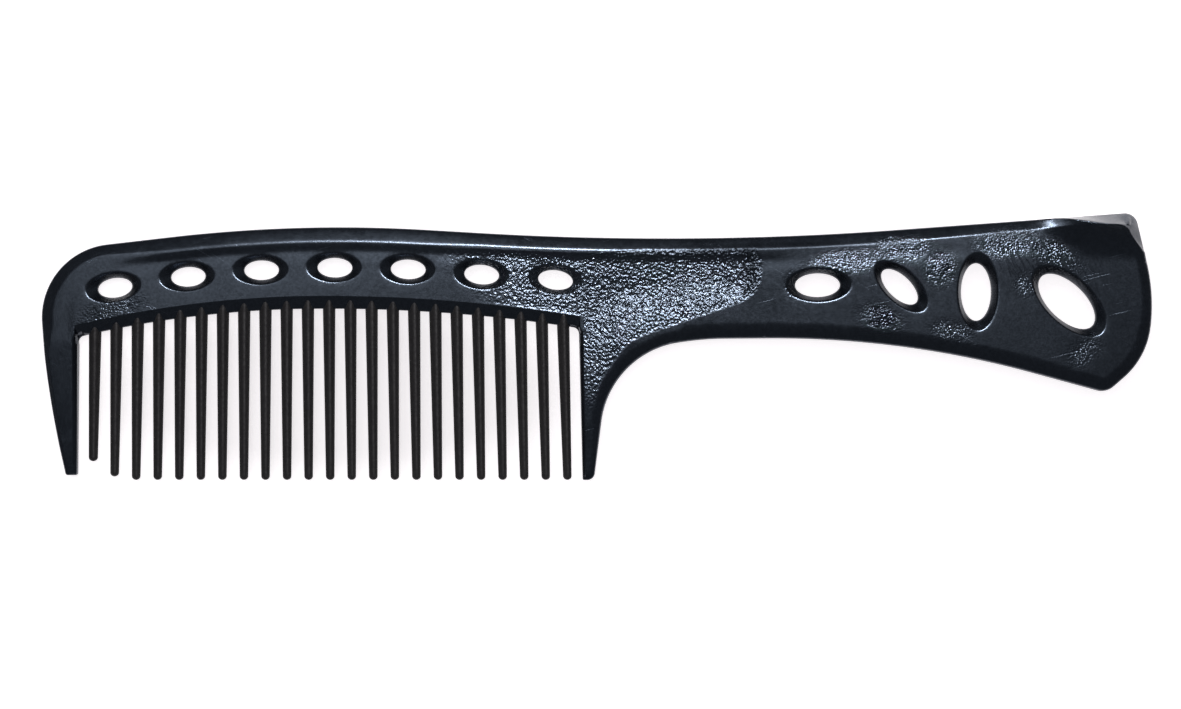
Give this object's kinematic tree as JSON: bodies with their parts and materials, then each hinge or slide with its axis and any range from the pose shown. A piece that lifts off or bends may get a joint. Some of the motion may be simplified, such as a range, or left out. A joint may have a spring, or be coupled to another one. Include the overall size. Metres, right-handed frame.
{
  "type": "wide tooth comb",
  "caption": "Flat one-piece wide-tooth comb with guarded teeth, a pierced spine, a dished thumb rest and a broad pierced handle ending in a flared lip.",
  "frame": {"origin": "middle of the comb's box, on the mid-plane between its two faces", "axes": "+X from the rounded nose to the end of the handle, +Y towards the spine so the teeth point to -Y, +Z out of the front face"},
  "size_m": [0.2248, 0.0542, 0.0118],
  "materials": {
    "black_plastic": "satin blue-black moulded plastic with a fine grain, coarse leather-like grain in the thumb dish"
  },
  "bodies": {
    "root": {"comb_back": "black_plastic", "front_guard": "black_plastic", "heel_guard": "black_plastic", "thumb_rest": "black_plastic", "handle": "black_plastic", "handle_lip": "black_plastic", "tooth_01": "black_plastic", "tooth_02": "black_plastic", "tooth_03": "black_plastic", "tooth_04": "black_plastic", "tooth_05": "black_plastic", "tooth_06": "black_plastic", "tooth_07": "black_plastic", "tooth_08": "black_plastic", "tooth_09": "black_plastic", "tooth_10": "black_plastic", "tooth_11": "black_plastic", "tooth_12": "black_plastic", "tooth_13": "black_plastic", "tooth_14": "black_plastic", "tooth_15": "black_plastic", "tooth_16": "black_plastic", "tooth_17": "black_plastic", "tooth_18": "black_plastic", "tooth_19": "black_plastic", "tooth_20": "black_plastic", "tooth_21": "black_plastic", "tooth_22": "black_plastic", "tooth_23": "black_plastic"}
  },
  "joints": []
}
